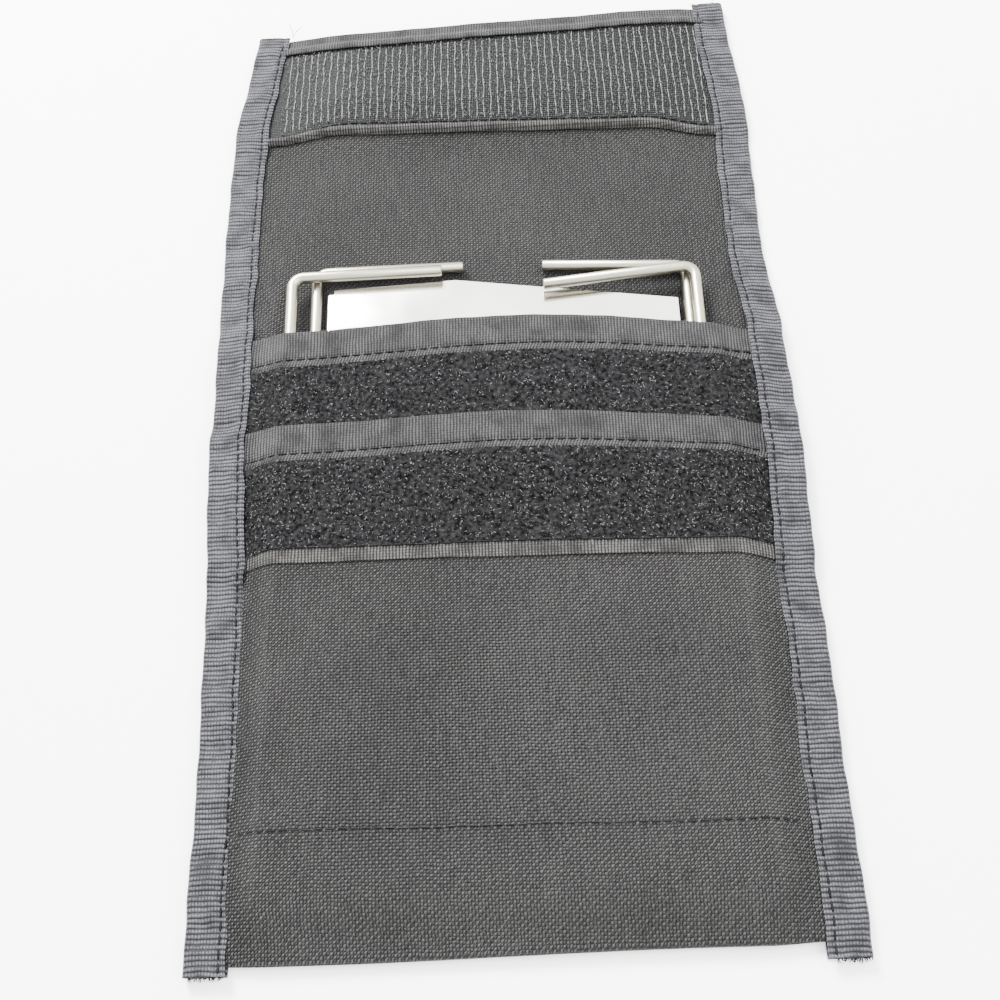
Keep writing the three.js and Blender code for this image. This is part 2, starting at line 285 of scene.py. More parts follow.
def fold_line(x):
    """y of the bottom fold, which was sewn a little out of square."""
    return 1.7 * smooth((x + 50.0) / 90.0) * smooth((84.0 - x) / 12.0)


def back_height(x, y):
    """Height of the cloth's middle. Its slight waves fade out where two pieces of it meet."""
    wave = 0.12 * ripple(x + 0.6 * y, 2) * smooth(np.abs(y - hinge_end) / 10.0)
    return lying_height + edge_lift(x, y) + wave


def volume(points, quads):
    """A number with the sign of the volume inside the quads, from their corners seen from one point."""
    a, b, c, d = (points[quads[:, corner]] - points[0] for corner in range(4))
    return (a * np.cross(b, c)).sum() + (a * np.cross(c, d)).sum()


def build(name, rows, uv, material, paired):
    """Mesh of closed rows of points, joined row to row. uv has one more column than rows.

    A paired row is a thin outline whose second half runs back under its first, and its two ends are
    closed with quads across. Any other row is closed with a single face. Faces are turned outwards by
    the sign of the enclosed volume."""
    steps, around = rows.shape[:2]
    uv_around = around + 1
    step, spot = np.meshgrid(np.arange(steps - 1), np.arange(around), indexing="ij")
    here, there = step * around, (step + 1) * around
    after = (spot + 1) % around
    quads = np.stack([here + spot, here + after, there + after, there + spot], -1).reshape(-1, 4)
    here, there = step * uv_around, (step + 1) * uv_around
    uv_quads = np.stack([here + spot, here + spot + 1, there + spot + 1, there + spot], -1).reshape(-1, 4)
    last, last_uv = (steps - 1) * around, (steps - 1) * uv_around
    if paired:
        spot = np.arange(around // 2 - 1)
        cap = np.stack([spot, around - 1 - spot, around - 2 - spot, spot + 1], -1)
        quads = np.concatenate([quads, cap, last + cap[:, ::-1]])
        uv_quads = np.concatenate([uv_quads, cap, last_uv + cap[:, ::-1]])
        caps, uv_caps = [], []
    else:
        ring = np.arange(around)
        caps = [ring[::-1], last + ring]
        uv_caps = [ring[::-1], last_uv + ring]
    points = on_frame(rows.reshape(-1, 3))
    faces = quads.tolist() + [cap.tolist() for cap in caps]
    loops = uv.reshape(-1, 2)[np.concatenate([uv_quads.ravel()] + uv_caps)]
    mesh = bpy.data.meshes.new(name)
    mesh.from_pydata(points, [], faces)
    mesh.uv_layers.new(name="flat").data.foreach_set("uv", loops.astype(np.float32).ravel())
    if volume(points, quads) < 0:
        mesh.flip_normals()
    mesh.shade_smooth()
    mesh.set_sharp_from_angle(angle=sharp_angle)
    mesh.materials.append(material)
    piece = bpy.data.objects.new(name, mesh)
    bpy.context.scene.collection.objects.link(piece)
    return piece


def cloth(name, middle, uv, thickness, material):
    """A sheet: its middle surface moved half its thickness along its normal, both ways."""
    normal = np.cross(np.gradient(middle, axis=1), np.gradient(middle, axis=0))
    normal /= np.linalg.norm(normal, axis=2, keepdims=True)
    upper = middle + normal * thickness / 2
    lower = middle - normal * thickness / 2
    rows = np.concatenate([upper, lower[:, ::-1]], axis=1)
    coordinates = np.concatenate([uv, uv[:, ::-1], uv[:, :1]], axis=1) * 0.001
    return build(name, rows, coordinates, material, paired=True)


def woven(mix, yarn_pitch):
    """Plain weave: s = sin(pi u / pitch) sin(pi v / pitch) is above 0 where a warp yarn is on top and
    below 0 where a weft yarn is. Adding 0.35 cos(pi (u - v) / pitch) joins the beads along one diagonal,
    as twisted yarns do. A bead stands at s to the power 0.5, and a weft bead is flatter. The yarns
    wander a little."""
    u, v = mix.flat_cloth()
    wander = mix.times(mix.math("SUBTRACT", mix.noise(mix.vector(u, v), 260.0), 0.5), 0.0009)
    drift = mix.times(mix.math("SUBTRACT", mix.noise(mix.vector(v, u), 190.0), 0.5), 0.0009)
    turn = np.pi / yarn_pitch
    warp_turn = mix.times(mix.math("ADD", u, wander), turn)
    weft_turn = mix.times(mix.math("ADD", v, drift), turn)
    crossing = mix.times(mix.math("SINE", warp_turn), mix.math("SINE", weft_turn))
    diagonal = mix.math("COSINE", mix.math("SUBTRACT", warp_turn, weft_turn))
    crossing = mix.math("ADD", crossing, mix.times(diagonal, 0.35))
    warp_bead = mix.math("POWER", mix.math("MAXIMUM", crossing, 0.0), 0.5)
    weft_bead = mix.times(mix.math("MAXIMUM", mix.times(crossing, -1.0), 0.0), 0.42)
    bead = mix.math("ADD", warp_bead, weft_bead)
    slub = mix.streaks(u, v, 1400.0, 90.0)
    return bead, slub


def heavy_nylon():
    """Charcoal nylon: nearly black gaps and grey beads, uneven from yarn to yarn and in soft patches."""
    mix = Finish("heavy_nylon", 0.42, specular=0.07)
    bead, slub = woven(mix, 0.00084)
    glint = mix.spread(mix.noise(mix.place(), 1500.0), 0.3, 0.75, 0.4, 1.7)
    tone = mix.times(bead, mix.times(mix.spread(slub, 0.3, 0.7, 0.75, 1.2), glint))
    patch = mix.spread(mix.noise(mix.place(), 22.0), 0.35, 0.65, 0.82, 1.15)
    color = mix.blend(mix.times(tone, patch), (0.001, 0.001, 0.001), (0.037, 0.0366, 0.0361))
    return mix.finish(color, bead, 0.0006)


nylon = heavy_nylon()


def grid(rows, columns):
    """Shares from 0 to 1 along and across a piece."""
    return np.meshgrid(np.linspace(0, 1, rows), np.linspace(0, 1, columns), indexing="ij")


def spread_out(u, half):
    """Share u turned into x from -half to half, for edges whose y has to be known before their x."""
    return (2 * u - 1) * half


def panel(name, x, y, z, thickness=cloth_thickness, material=nylon):
    """A sheet whose middle is at x, y, z. Its flat coordinates are x and y."""
    return cloth(name, np.stack([x, y, z], -1), np.stack([x, y], -1), thickness, material)


along, u = grid(218, 120)
y = fold_line(spread_out(u, 82.0)) + hem
y = y + (fold_middle - y) * along
x = across(u, y, hem)
back_cloth = panel("back_cloth", x, y, back_height(x, y))
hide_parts("back_panel", "fold_panel")


def bend_at(piece):
    """Bakes the piece's placement into its mesh. Nothing here turns it through the fold's joints."""
    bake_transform(piece)


bend_at(back_cloth)


# Flap cloth -------------------------------------------------------------------
# The rest of the same strip of nylon: the second half of the fold and the flap. It lies flat near
# the fold, and its free end bows up a few millimetres because the stitched hook tape is stiff.


def free_end(x):
    """y of the flap's end, cut out of square and set back 1.9 mm between the side tapes."""
    return flap_end + 0.043 * x - 1.9 * smooth((74.0 - np.abs(x)) / 30.0)


def flap_bow(x, y):
    """A flat-topped bow between the side tapes, rising from y 249 to 274."""
    return 4.2 * smooth((y - 249.0) / 25.0) * smooth((80.0 - np.abs(x)) / 38.0)


def flap_height(x, y):
    return back_height(x, y) + flap_bow(x, y)


along, u = grid(30, 120)
y = fold_middle + (hinge_end - fold_middle) * along
x = across(u, y, hem)
fold_cloth = panel("fold_cloth", x, y, flap_height(x, y))
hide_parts("fold_panel")
bend_at(fold_cloth)

along, u = grid(66, 120)
y = hinge_end + (free_end(spread_out(u, 82.0)) - 0.8 - hinge_end) * along
x = across(u, y, hem)
flap_cloth = panel("flap_cloth", x, y, flap_height(x, y))
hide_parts("flap_panel")
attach(flap_cloth, "flap")
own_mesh(flap_cloth)


# Stove frames -----------------------------------------------------------------
# Two nested C-shaped frames of drawn stainless wire, bent cold, with square-cut horns that point at
# each other. They lie on each other in the rear pocket, the outer one on top.

wire_radius = 1.7
bend_radius = 3.6
stove_foot = 16.0 + wire_radius
end_chamfer = 0.3


def tubes(lines, radius, sides, taper=1.0):
    """Round tubes along centre lines, given as (count, steps, 3) points.

    A ring point is centre + radius (cos a side + sin a up), with side level and square to the line.
    The first and last ring have their radius times taper."""
    forward = np.gradient(lines, axis=1)
    forward /= np.linalg.norm(forward, axis=2, keepdims=True)
    side = np.cross(forward, [0.0, 0.0, 1.0]) + 1e-9
    side /= np.linalg.norm(side, axis=2, keepdims=True)
    up = np.cross(side, forward)
    angle = np.linspace(0, 2 * np.pi, sides, endpoint=False)
    shrink = np.ones(lines.shape[1])
    shrink[[0, -1]] = taper
    size = (radius * shrink)[None, :, None, None]
    ring = np.cos(angle)[:, None] * side[:, :, None] + np.sin(angle)[:, None] * up[:, :, None]
    return lines[:, :, None] + size * ring


def run_along(line):
    """Distance travelled to each point of a line."""
    return np.concatenate([[0], np.cumsum(np.linalg.norm(np.diff(line, axis=0), axis=1))])


def steel_wire():
    """Satin drawn wire: warm grey, with fine scratches along it."""
    mix = Finish("steel_wire", 0.34, metallic=1.0)
    u, v = mix.flat_cloth()
    scratch = mix.streaks(u, v, 9000.0, 60.0)
    stain = mix.noise(mix.place(), 70.0)
    color = mix.blend(stain, (0.27, 0.257, 0.205), (0.38, 0.362, 0.29))
    return mix.finish(color, scratch, 0.00003, mix.spread(scratch, 0.3, 0.7, 0.24, 0.42))


def bent_wire(name, replaced, corners):
    """A round wire through the corners of a flat route, each inner corner turned on an arc.

    It lies as high as the middle of the frame that it replaces."""
    low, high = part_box(replaced)
    height = (low.z + high.z) * 500
    corners = np.array(corners, float)
    path = [corners[0]]
    for before, corner, after in zip(corners[:-2], corners[1:-1], corners[2:]):
        first = (before - corner) / np.linalg.norm(before - corner)
        second = (after - corner) / np.linalg.norm(after - corner)
        half = np.arccos(np.clip(first @ second, -1, 1)) / 2
        centre = corner + (first + second) / np.linalg.norm(first + second) * bend_radius / np.sin(half)
        start = corner + first * bend_radius / np.tan(half) - centre
        end = corner + second * bend_radius / np.tan(half) - centre
        sweep = np.linspace(0, 1, 13)[:, None]
        arc = start * (1 - sweep) + end * sweep
        path.extend(centre + arc / np.linalg.norm(arc, axis=1, keepdims=True) * bend_radius)
    path.append(corners[-1])
    path = np.array(path)
    for end, inner in ((0, 1), (-1, -2)):
        inwards = (path[inner] - path[end]) / np.linalg.norm(path[inner] - path[end])
        chamfer = path[end] + inwards * end_chamfer
        path = np.insert(path, 1 if end == 0 else len(path) - 1, chamfer, axis=0)
    line = np.column_stack([path, np.full(len(path), height)])
    rows = tubes(line[None], wire_radius, 24, taper=0.82)[0]
    length = run_along(path)
    turn = np.linspace(0, 2 * np.pi * wire_radius, 25)
    uv = np.stack(np.meshgrid(length, turn, indexing="ij")[::-1], -1) * 0.001
    wire = build(name, rows, uv, wire_finish, paired=False)
    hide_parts(replaced)
    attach(wire, "stove")


wire_finish = steel_wire()
bent_wire("outer_wire", "outer_frame", [
    (-18, 199.8), (-64, 199.1), (-64, stove_foot),
    (59.4, stove_foot), (59.4, 197.8), (13, 193.1),
])
bent_wire("inner_wire", "inner_frame", [
    (-11.5, 203.3), (-57, 203), (-57, stove_foot),
    (57.2, stove_foot), (57.2, 200.4), (13, 202.6),
])


# Stove tray -------------------------------------------------------------------
# Two leaves of bright stainless sheet on a rolled hinge, folded flat inside the frames. Their shape
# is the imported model's, and only their finish is made here.

def bright_sheet():
    """Nearly mirror-bright sheet, a little clouded by handling, with fine rubbing marks."""
    mix = Finish("bright_sheet", 0.12, metallic=1.0)
    place = mix.place()
    cloud = mix.noise(place, 45.0)
    rub = mix.streaks(*mix.parts(place), 60.0, 2600.0)
    color = mix.blend(cloud, (0.86, 0.84, 0.80), (0.93, 0.92, 0.89))
    return mix.finish(color, rub, 0.000004, mix.spread(cloud, 0.3, 0.7, 0.08, 0.2))


tray_finish = bright_sheet()
tray_slots = {
    "tray_back_leaf": "steel_sheet",
    "tray_front_leaf": "steel_sheet",
    "tray_hinge_pin": "steel_wire",
}
for node, slot in tray_slots.items():
    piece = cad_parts[node]
    piece.data.materials.clear()
    piece.data.materials.append(tray_finish)


# Middle and front cloth -------------------------------------------------------
# Two more panels of the same nylon over the stove. They start at the bottom of the pouch, lie in the
# side tapes and arch up towards their mouths. The front one turns round the bottom fold.

inner_span = 73.5  # half length of what lies between the side tapes, before their waves are followed
panel_inset = tape_leaf - 2.5
middle_foot = 18.0  # lower edge of the middle cloth, hidden between the other two
mouth_hem = 0.6


def crest(x):
    """0 at the side tapes, 1 a little right of the middle, where the pockets stand highest."""
    span = np.where(x < 10, 84.0, 64.0)
    return np.cos(np.clip((x - 10) / span, -1, 1) * np.pi / 2) ** 2


def middle_mouth(x):
    """y of the rear pocket's mouth, a little askew and drawn up where the pocket stands highest."""
    return 176.1 - 0.0235 * x + 2.6 * crest(x)


def front_mouth(x):
    """y of the front pocket's mouth, of the same shape."""
    return 143.6 - 0.0243 * x + 2.4 * crest(x)


def over_stove(x, y):
    """1 over the stove, 0 in the side tapes and at the bottom fold."""
    room = np.where(x < 0, 12.0, 14.5)
    return smooth((76.0 - np.abs(x)) / room) * smooth((y + 2.0) / 20.0)


def arch(x, y):
    """Arch across the pouch, growing towards the mouths."""
    return 3.3 * (np.clip(y, 0, None) / 178.0) ** 1.6 * crest(x)


def middle_height(x, y):
    """1.9 mm above the table in the side tapes and 9.3 mm over the stove, with the arch on top."""
    shoulder = (1.9 + edge_lift(x, y)) * (1 - over_stove(x, y))
    return shoulder + 9.3 * over_stove(x, y) + arch(x, y)


def front_gap(x, y):
    """Space between the two panels: one cloth, and further up the middle panel's loop strip too."""
    return (0.95 + 0.7 * smooth((y - 119.0) / 12.0)) * (0.8 + 0.2 * over_stove(x, y))


def front_height(x, y):
    """The middle cloth's height and the gap, with soft waves over the lower part of the stove."""
    sag = 0.27 * ripple(1.3 * x + 0.5 * y, 7) * over_stove(x, y) * smooth((120 - y) / 60)
    return middle_height(x, y) + front_gap(x, y) + sag


along, u = grid(160, 140)
y = middle_foot + (middle_mouth(spread_out(u, inner_span)) - mouth_hem - middle_foot) * along
x = across(u, y, panel_inset)
middle_cloth = panel("middle_cloth", x, y, middle_height(x, y))
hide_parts("middle_panel")
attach(middle_cloth, "pouch")

along, u = grid(150, 140)
x = spread_out(u, inner_span)
y = fold_line(x) + 1.2
y = y + (front_mouth(x) - mouth_hem - y) * along
x = across(u, y, panel_inset)
sheet_part = np.stack([x, y, front_height(x, y)], -1)

# Round the bottom fold: half a turn from the back cloth's height up to the front cloth's.
turn_rows = 9
half_turn = grid(turn_rows, 140)[0]
angle = np.pi * (half_turn - 0.5)
foot = sheet_part[0]
radius = (foot[None, :, 2] - lying_height) / 2
turn_part = np.stack([
    np.repeat(foot[None, :, 0], turn_rows, 0),
    foot[None, :, 1] - radius * np.cos(angle) * 1.2,
    lying_height + radius + radius * np.sin(angle),
], -1)
front_grid = np.concatenate([turn_part[:-1], sheet_part])
front_uv = front_grid[:, :, :2].copy()
front_uv[:turn_rows - 1, :, 1] = foot[None, :, 1] - (1 - half_turn[:-1]) * np.pi * radius
front_cloth = cloth("front_cloth", front_grid, front_uv, cloth_thickness, nylon)
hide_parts("front_panel")
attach(front_cloth, "pouch")


# Seam of the front pocket -----------------------------------------------------
# One row of black thread across the front cloth, 30 mm above the fold, which closes the front pocket
# at its bottom. Every stitch dips at its ends, where the thread goes through the cloth.

thread_radius = 0.3
stitch_pitch = 3.3


def black_thread():
    """Twisted black thread, each length of it a little lighter or darker than the next."""
    mix = Finish("black_thread", 0.45, specular=0.05)
    u, v = mix.flat_cloth()
    ply = mix.math("SINE", mix.times(v, 9000.0))
    return mix.finish(mix.blend(u, (0.0025, 0.0025, 0.0028), (0.008, 0.008, 0.0085)), ply, 0.00005)


thread = black_thread()


def tube_piece(name, lines, radius, sides, material, taper=0.35, seed=1):
    """One mesh of many closed tubes. u is one random number for a tube, and v runs along it in metres."""
    rings = tubes(lines, radius, sides, taper)
    count, steps = lines.shape[:2]
    tube, step, spot = np.meshgrid(np.arange(count), np.arange(steps - 1), np.arange(sides), indexing="ij")
    here = (tube * steps + step) * sides
    there = here + sides
    after = (spot + 1) % sides
    quads = np.stack([here + spot, there + spot, there + after, here + after], -1).reshape(-1, 4)
    first = np.arange(count)[:, None] * steps * sides + np.arange(sides)
    caps = np.concatenate([first, first[:, ::-1] + (steps - 1) * sides])
    length = np.linalg.norm(np.diff(lines, axis=1), axis=2)
    travelled = np.concatenate([np.zeros((count, 1)), np.cumsum(length, axis=1)], axis=1)
    shade = np.random.default_rng(seed + 100).random(count)
    flat = np.stack([np.repeat(shade, steps * sides), np.repeat(travelled.ravel() * 0.001, sides)], -1)
    points = on_frame(rings.reshape(-1, 3))
    mesh = bpy.data.meshes.new(name)
    mesh.from_pydata(points, [], quads.tolist() + caps.tolist())
    loops = flat[np.concatenate([quads.ravel(), caps.ravel()])]
    mesh.uv_layers.new(name="flat").data.foreach_set("uv", loops.astype(np.float32).ravel())
    if volume(points, quads) < 0:
        mesh.flip_normals()
    mesh.shade_smooth()
    mesh.materials.append(material)
    piece = bpy.data.objects.new(name, mesh)
    bpy.context.scene.collection.objects.link(piece)
    return piece


def stitch_row(name, path, pitch=stitch_pitch, share=0.92, rise=0.1, radius=thread_radius):
    """Stitches laid along a path of (steps, 3) points. Each covers a share of the pitch, stands up by
    rise in its middle and dips at its ends by 0.32 mm times the fourth power of the way out."""
    length = run_along(path)
    starts = np.arange(0.4, length[-1] - pitch, pitch)
    inside = np.linspace(0, share * pitch, 6)
    places = starts[:, None] + inside
    lines = np.stack([np.interp(places, length, path[:, axis]) for axis in range(3)], -1)
    lines[:, :, 2] += rise - 0.32 * (2 * inside / inside[-1] - 1) ** 4
    return tube_piece(name, lines, radius, 6, thread)


x = np.linspace(-71, 71, 400)
y = 30.4 - 0.007 * x + 0.25 * ripple(x, 4)
seam_path = np.stack([x, y, front_height(x, y) + cloth_thickness / 2], -1)
pocket_seam = stitch_row("front_pocket_seam", seam_path, pitch=3.0, rise=0.08, radius=0.25)
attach(pocket_seam, "pouch")


# Loop strips ------------------------------------------------------------------
# Two bands of soft black loop tape sewn across the panels under their mouths: a woven ground covered
# with tangled nylon loops. The front one ends in a flat ribbed selvage below its last row of stitches.

strip_thickness = 0.7
strip_lift = 0.72  # middle of a strip above the middle of its panel
strip_inset = tape_leaf - 1.2
strip_half = 71.6  # half length of a strip between the side tapes' inner edges
loop_radius = 0.062
loops_per_strip = 7400


def loop_ground():
    """Very dark felted ground between the loops."""
    mix = Finish("loop_ground", 0.9, specular=0.03)
    clump = mix.noise(mix.place(), 900.0, 3.0)
    color = mix.blend(mix.spread(clump, 0.35, 0.7), (0.001, 0.001, 0.0011), (0.014, 0.014, 0.0145))
    return mix.finish(color, clump, 0.0006)


def loop_yarn():
    """Thin glossy filament, from nearly black to grey."""
    mix = Finish("loop_yarn", 0.4, specular=0.1)
    own_number = mix.flat_cloth()[0]
    shade = mix.math("POWER", own_number, 4.0)
    return mix.finish(mix.blend(shade, (0.002, 0.002, 0.0022), (0.19, 0.187, 0.19)))


pile_ground, pile_yarn = loop_ground(), loop_yarn()


def pile(name, count, low, high, height, seed):
    """Short curled filaments strewn over a strip. Each turns evenly as it goes and arches up."""
    rng = np.random.default_rng(seed)
    u, v = rng.random(count), rng.random(count)
    x = spread_out(u, strip_half)
    y = low(x) + (high(x) - low(x)) * v
    x = across(u, y, tape_leaf + 0.3)
    t = np.linspace(-0.5, 0.5, 5)[None, :]
    heading = rng.uniform(0, 2 * np.pi, count)[:, None]
    curl = rng.uniform(-2.6, 2.6, count)[:, None]
    length = rng.uniform(0.5, 1.2, count)[:, None]
    bearing = heading + curl * t
    dx = np.cumsum(np.cos(bearing), axis=1) / 5 * length
    dy = np.cumsum(np.sin(bearing), axis=1) / 5 * length
    px = x[:, None] + dx - dx.mean(axis=1, keepdims=True)
    py = y[:, None] + dy - dy.mean(axis=1, keepdims=True)
    py = np.clip(py, low(px) + 0.1, high(px) - 0.1)
    top = rng.uniform(0.2, 0.75, count)[:, None]
    pz = height(px, py) + 0.1 + top * (1 - 3.2 * t ** 2)
    return tube_piece(name, np.stack([px, py, pz], -1), loop_radius, 3, pile_yarn, taper=0.5, seed=seed)


def loop_strip(name, replaced, low, high, panel_height, seed):
    """A strip from y low(x) to high(x) on one of the panels, and its pile."""
    def top(x, y):
        return panel_height(x, y) + strip_lift + strip_thickness / 2

    along, u = grid(34, 150)
    x = spread_out(u, inner_span)
    y = low(x) + (high(x) - low(x)) * along
    x = across(u, y, strip_inset)
    base = panel(name, x, y, panel_height(x, y) + strip_lift, strip_thickness, pile_ground)
    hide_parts(replaced)
    fibres = pile(name + "_pile", loops_per_strip, low, high, top, seed)
    for piece in (base, fibres):
        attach(piece, "pouch")
    return base, fibres


def middle_strip_low(x):
    return 129.5 - 0.024 * x


def middle_strip_high(x):
    return 164.7 - 0.0114 * x + 2.0 * crest(x)


def front_strip_low(x):
    return 106.0 - 0.012 * x


def front_strip_high(x):
    return 132.7 - 0.0162 * x + 2.0 * crest(x)


middle_strip, middle_pile = loop_strip(
    "middle_loop_tape", "middle_loop_strip", middle_strip_low, middle_strip_high, middle_height, 11)

front_strip, front_pile = loop_strip(
    "front_loop_tape", "front_loop_strip", front_strip_low, front_strip_high, front_height, 12)


# Ribbed tape ------------------------------------------------------------------
# All the binding is one kind of tape, a ribbed weave 25 mm wide folded in half over the edge that it
# binds. The same weave makes the flat selvages of the hook and loop tapes.

tape_thickness = 0.42


def ribbed(name, dark, light, rib=0.00127):
    """Ribs across the tape, |sin(pi v / rib)|, each crossed by fine yarns |sin(pi u / 0.8 mm)|."""
    mix = Finish(name, 0.45, specular=0.07)
    u, v = mix.flat_cloth()
    bent = mix.times(mix.math("SUBTRACT", mix.noise(mix.vector(u, v), 140.0), 0.5), 0.0009)
    ridge = mix.bumps(mix.math("ADD", v, bent), rib)
    yarn = mix.bumps(u, 0.0008)
    # Light and dark patches about 7 mm across: partly the tape's wear, partly painted shade of its
    # puckers.
    wear_and_pucker_shade = mix.streaks(u, v, 150.0, 150.0)
    speck = mix.streaks(u, v, 1500.0, 1500.0)
    weave = mix.times(mix.math("POWER", ridge, 1.7), mix.spread(yarn, 0.0, 0.8, 0.35, 1.0))
    # Painted pucker shade and wear, times fine specks of yarn tone.
    pucker_shade_and_speck = mix.times(mix.spread(wear_and_pucker_shade, 0.3, 0.7, 0.4, 1.4), mix.spread(speck, 0.3, 0.7, 0.5, 1.5))
    tone = mix.times(weave, pucker_shade_and_speck)
    return mix.finish(mix.blend(tone, dark, light), weave, 0.00026)


side_tape = ribbed("side_tape", (0.005, 0.005, 0.0058), (0.062, 0.0635, 0.07))
mouth_tape = ribbed("mouth_tape", (0.003, 0.003, 0.0032), (0.042, 0.0412, 0.042), rib=0.0009)
selvage_tape = ribbed("selvage_tape", (0.003, 0.003, 0.0028), (0.06, 0.058, 0.055), rib=0.0009)


def wrap(front_leaf, back_leaf, gap, groove, lip):
    """Outline of a tape folded over an edge, as (distance in from the fold, height) of its outer face.

    It runs from the back leaf's end round the fold to the front leaf's end. groove is how deep the
    stitches pull the front leaf down, at lip from its end."""
    round_share = np.linspace(-np.pi / 2, np.pi / 2, 11)
    radius = gap / 2
    fold = np.stack([radius * (1 - np.cos(round_share)), radius * (1 + np.sin(round_share))], -1)
    back_part = np.stack([np.linspace(back_leaf, radius + 0.3, 7), np.zeros(7)], -1)
    reach_in = np.linspace(radius + 0.3, front_leaf, 26)
    pull = groove * np.exp(-((reach_in - (front_leaf - lip)) / 0.55) ** 2)
    droop = 0.25 * smooth((reach_in - (front_leaf - 0.6)) / 0.6)
    front_part = np.stack([reach_in, gap - pull - droop], -1)
    return np.concatenate([back_part, fold, front_part])


def inner_face(outline, thickness):
    """The outline moved inwards by the tape's thickness along its normal."""
    step = np.gradient(outline, axis=0)
    step /= np.linalg.norm(step, axis=1, keepdims=True)
    normal = np.stack([step[:, 1], -step[:, 0]], -1)
    inside = outline - normal * thickness
    if inside[:, 1].min() < outline[:, 1].min() - 1e-6:
        inside = outline + normal * thickness
    return inside


def folded_tape(name, outline, carry, material):
    """A tape swept along the edge that it binds, with the outline as its outer face.

    carry takes a face's outline and returns the face's points, one row for each step along the edge,
    and how far along the tape each point is."""
    faces, flats = [], []
    for face in (outline, inner_face(outline, tape_thickness)):
        points, lengthwise = carry(face)
        faces.append(points)
        flats.append(np.stack([np.broadcast_to(run_along(face), lengthwise.shape), lengthwise], -1))
    ring = np.concatenate([faces[0], faces[1][:, ::-1]], axis=1)
    uv = np.concatenate([flats[0], flats[1][:, ::-1], flats[0][:, :1]], axis=1) * 0.001
    return build(name, ring, uv, material, paired=True)


# Mouth tapes ------------------------------------------------------------------
# Tape folded over the upper edge of each pocket wall and sewn through along its lower third. The
# stitches pull a narrow lip loose, and the hidden leaf grips the cloth from behind.

mouth_inset = tape_leaf - 1.6
mouth_leaf = 12.0  # width of the outline's front leaf, which is then drawn out to the real one
mouth_gap = 1.75
mouth_seam = 9.4  # distance of the stitches from the fold


def mouth_binding(name, replaced, mouth, lower, panel_height, seed):
    """Tape over a mouth: its fold runs at y mouth(x), and its front leaf reaches down to lower(x)."""
    columns = 300
    x = np.linspace(-inner_span, inner_span, columns)
    edge = mouth(x)
    leaf = edge - lower(x)
    at_x = across(np.linspace(0, 1, columns), edge, mouth_inset)
    wave = 0.25 * ripple(x, seed)
    pull = 0.1 * np.sin(2 * np.pi * x / stitch_pitch)

    def carry(face):
        inwards, rise = face[None, :, 0], face[None, :, 1]
        y = edge[:, None] + wave[:, None] - inwards * (leaf[:, None] / mouth_leaf)
        under = panel_height(at_x[:, None], np.clip(y, None, edge[:, None] - 0.5))
        pucker = pull[:, None] * np.exp(-((inwards - mouth_seam) / 1.6) ** 2)
        z = under - 0.6 + rise + np.where(rise > 1.0, pucker, 0)
        slant = np.where(rise > 1.0, smooth((inwards - 9.3) / 0.3) * (inwards - mouth_seam) * 0.35, 0)
        return np.stack([np.broadcast_to(at_x[:, None], y.shape), y, z], -1), at_x[:, None] + slant

    outline = wrap(mouth_leaf, 11.0, mouth_gap, 0.28, mouth_leaf - mouth_seam)
    tape = folded_tape(name, outline, carry, mouth_tape)
    seam_y = edge - leaf * mouth_seam / mouth_leaf
    path = np.stack([at_x, seam_y, panel_height(at_x, seam_y) + 0.9], -1)
    seam = stitch_row(name + "_seam", path, rise=0.12)
    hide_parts(replaced)
    for piece in (tape, seam):
        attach(piece, "pouch")
    return tape, seam


middle_binding, middle_seam = mouth_binding(
    "middle_mouth_tape", "middle_mouth_binding", middle_mouth, lambda x: middle_strip_high(x) - 0.5,
    middle_height, 2)
front_binding, front_seam = mouth_binding(
    "front_mouth_tape", "front_mouth_binding", front_mouth, lambda x: front_strip_high(x) - 0.7,
    front_height, 5)


# Selvage of the front loop strip ----------------------------------------------
# The strip's own woven edge, 4 mm wide and flat, sewn down with one row that runs along the loops.

along, u = grid(8, 150)
x = spread_out(u, inner_span)
y = 102.0 - 0.014 * x + 4.3 * along + 0.1 * ripple(x, 6)
x = across(u, y, strip_inset)
z = front_height(x, y) + 0.62 + 0.12 * along
selvage = cloth("front_loop_selvage", np.stack([x, y, z], -1), np.stack([y, x], -1), 0.45, selvage_tape)
x = np.linspace(-71.5, 71.5, 400)
y = front_strip_low(x) + 0.2 + 0.2 * ripple(x, 8)
selvage_path = np.stack([x, y, front_height(x, y) + 1.15], -1)
selvage_seam = stitch_row("front_loop_seam", selvage_path, pitch=3.4, rise=0.1)
for piece in (selvage, selvage_seam):
    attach(piece, "pouch")


# Hook strip -------------------------------------------------------------------
# Wide hook tape across the flap, sewn down above its lower edge, a thick ribbed selvage like a cord.
# Its hooks stand in rows along the pouch and lean together into light ridges.

hook_pitch = 2.35
hook_cord = 2.6  # the hooks' ground starts this far above the lower edge, under the cord
hook_radius = 0.2
single_hook_radius = 0.085


def hook_low(x):
    """y of the lower edge, which drops by 3.2 mm towards the side tapes."""
    return 257.4 - 0.022 * x - 3.2 * smooth((np.abs(x) - 50.0) / 22.0)


def hook_high(x):
    """y of the upper edge, just under the end tape."""
    return free_end(x) - 7.2


def hook_ground():
    """Dark woven ground with rows of small knots between the ridges of hooks."""
    mix = Finish("hook_ground", 0.55, specular=0.06)
    u, v = mix.flat_cloth()
    knots = mix.times(mix.bumps(u, 0.00059), mix.bumps(v, 0.0007))
    speck = mix.noise(mix.vector(u, v), 1300.0, 3.0)
    tone = mix.times(mix.spread(knots, 0.25, 0.9), mix.spread(speck, 0.35, 0.65, 0.2, 1.4))
    return mix.finish(mix.blend(tone, (0.001, 0.001, 0.001), (0.052, 0.054, 0.054)), tone, 0.0004)


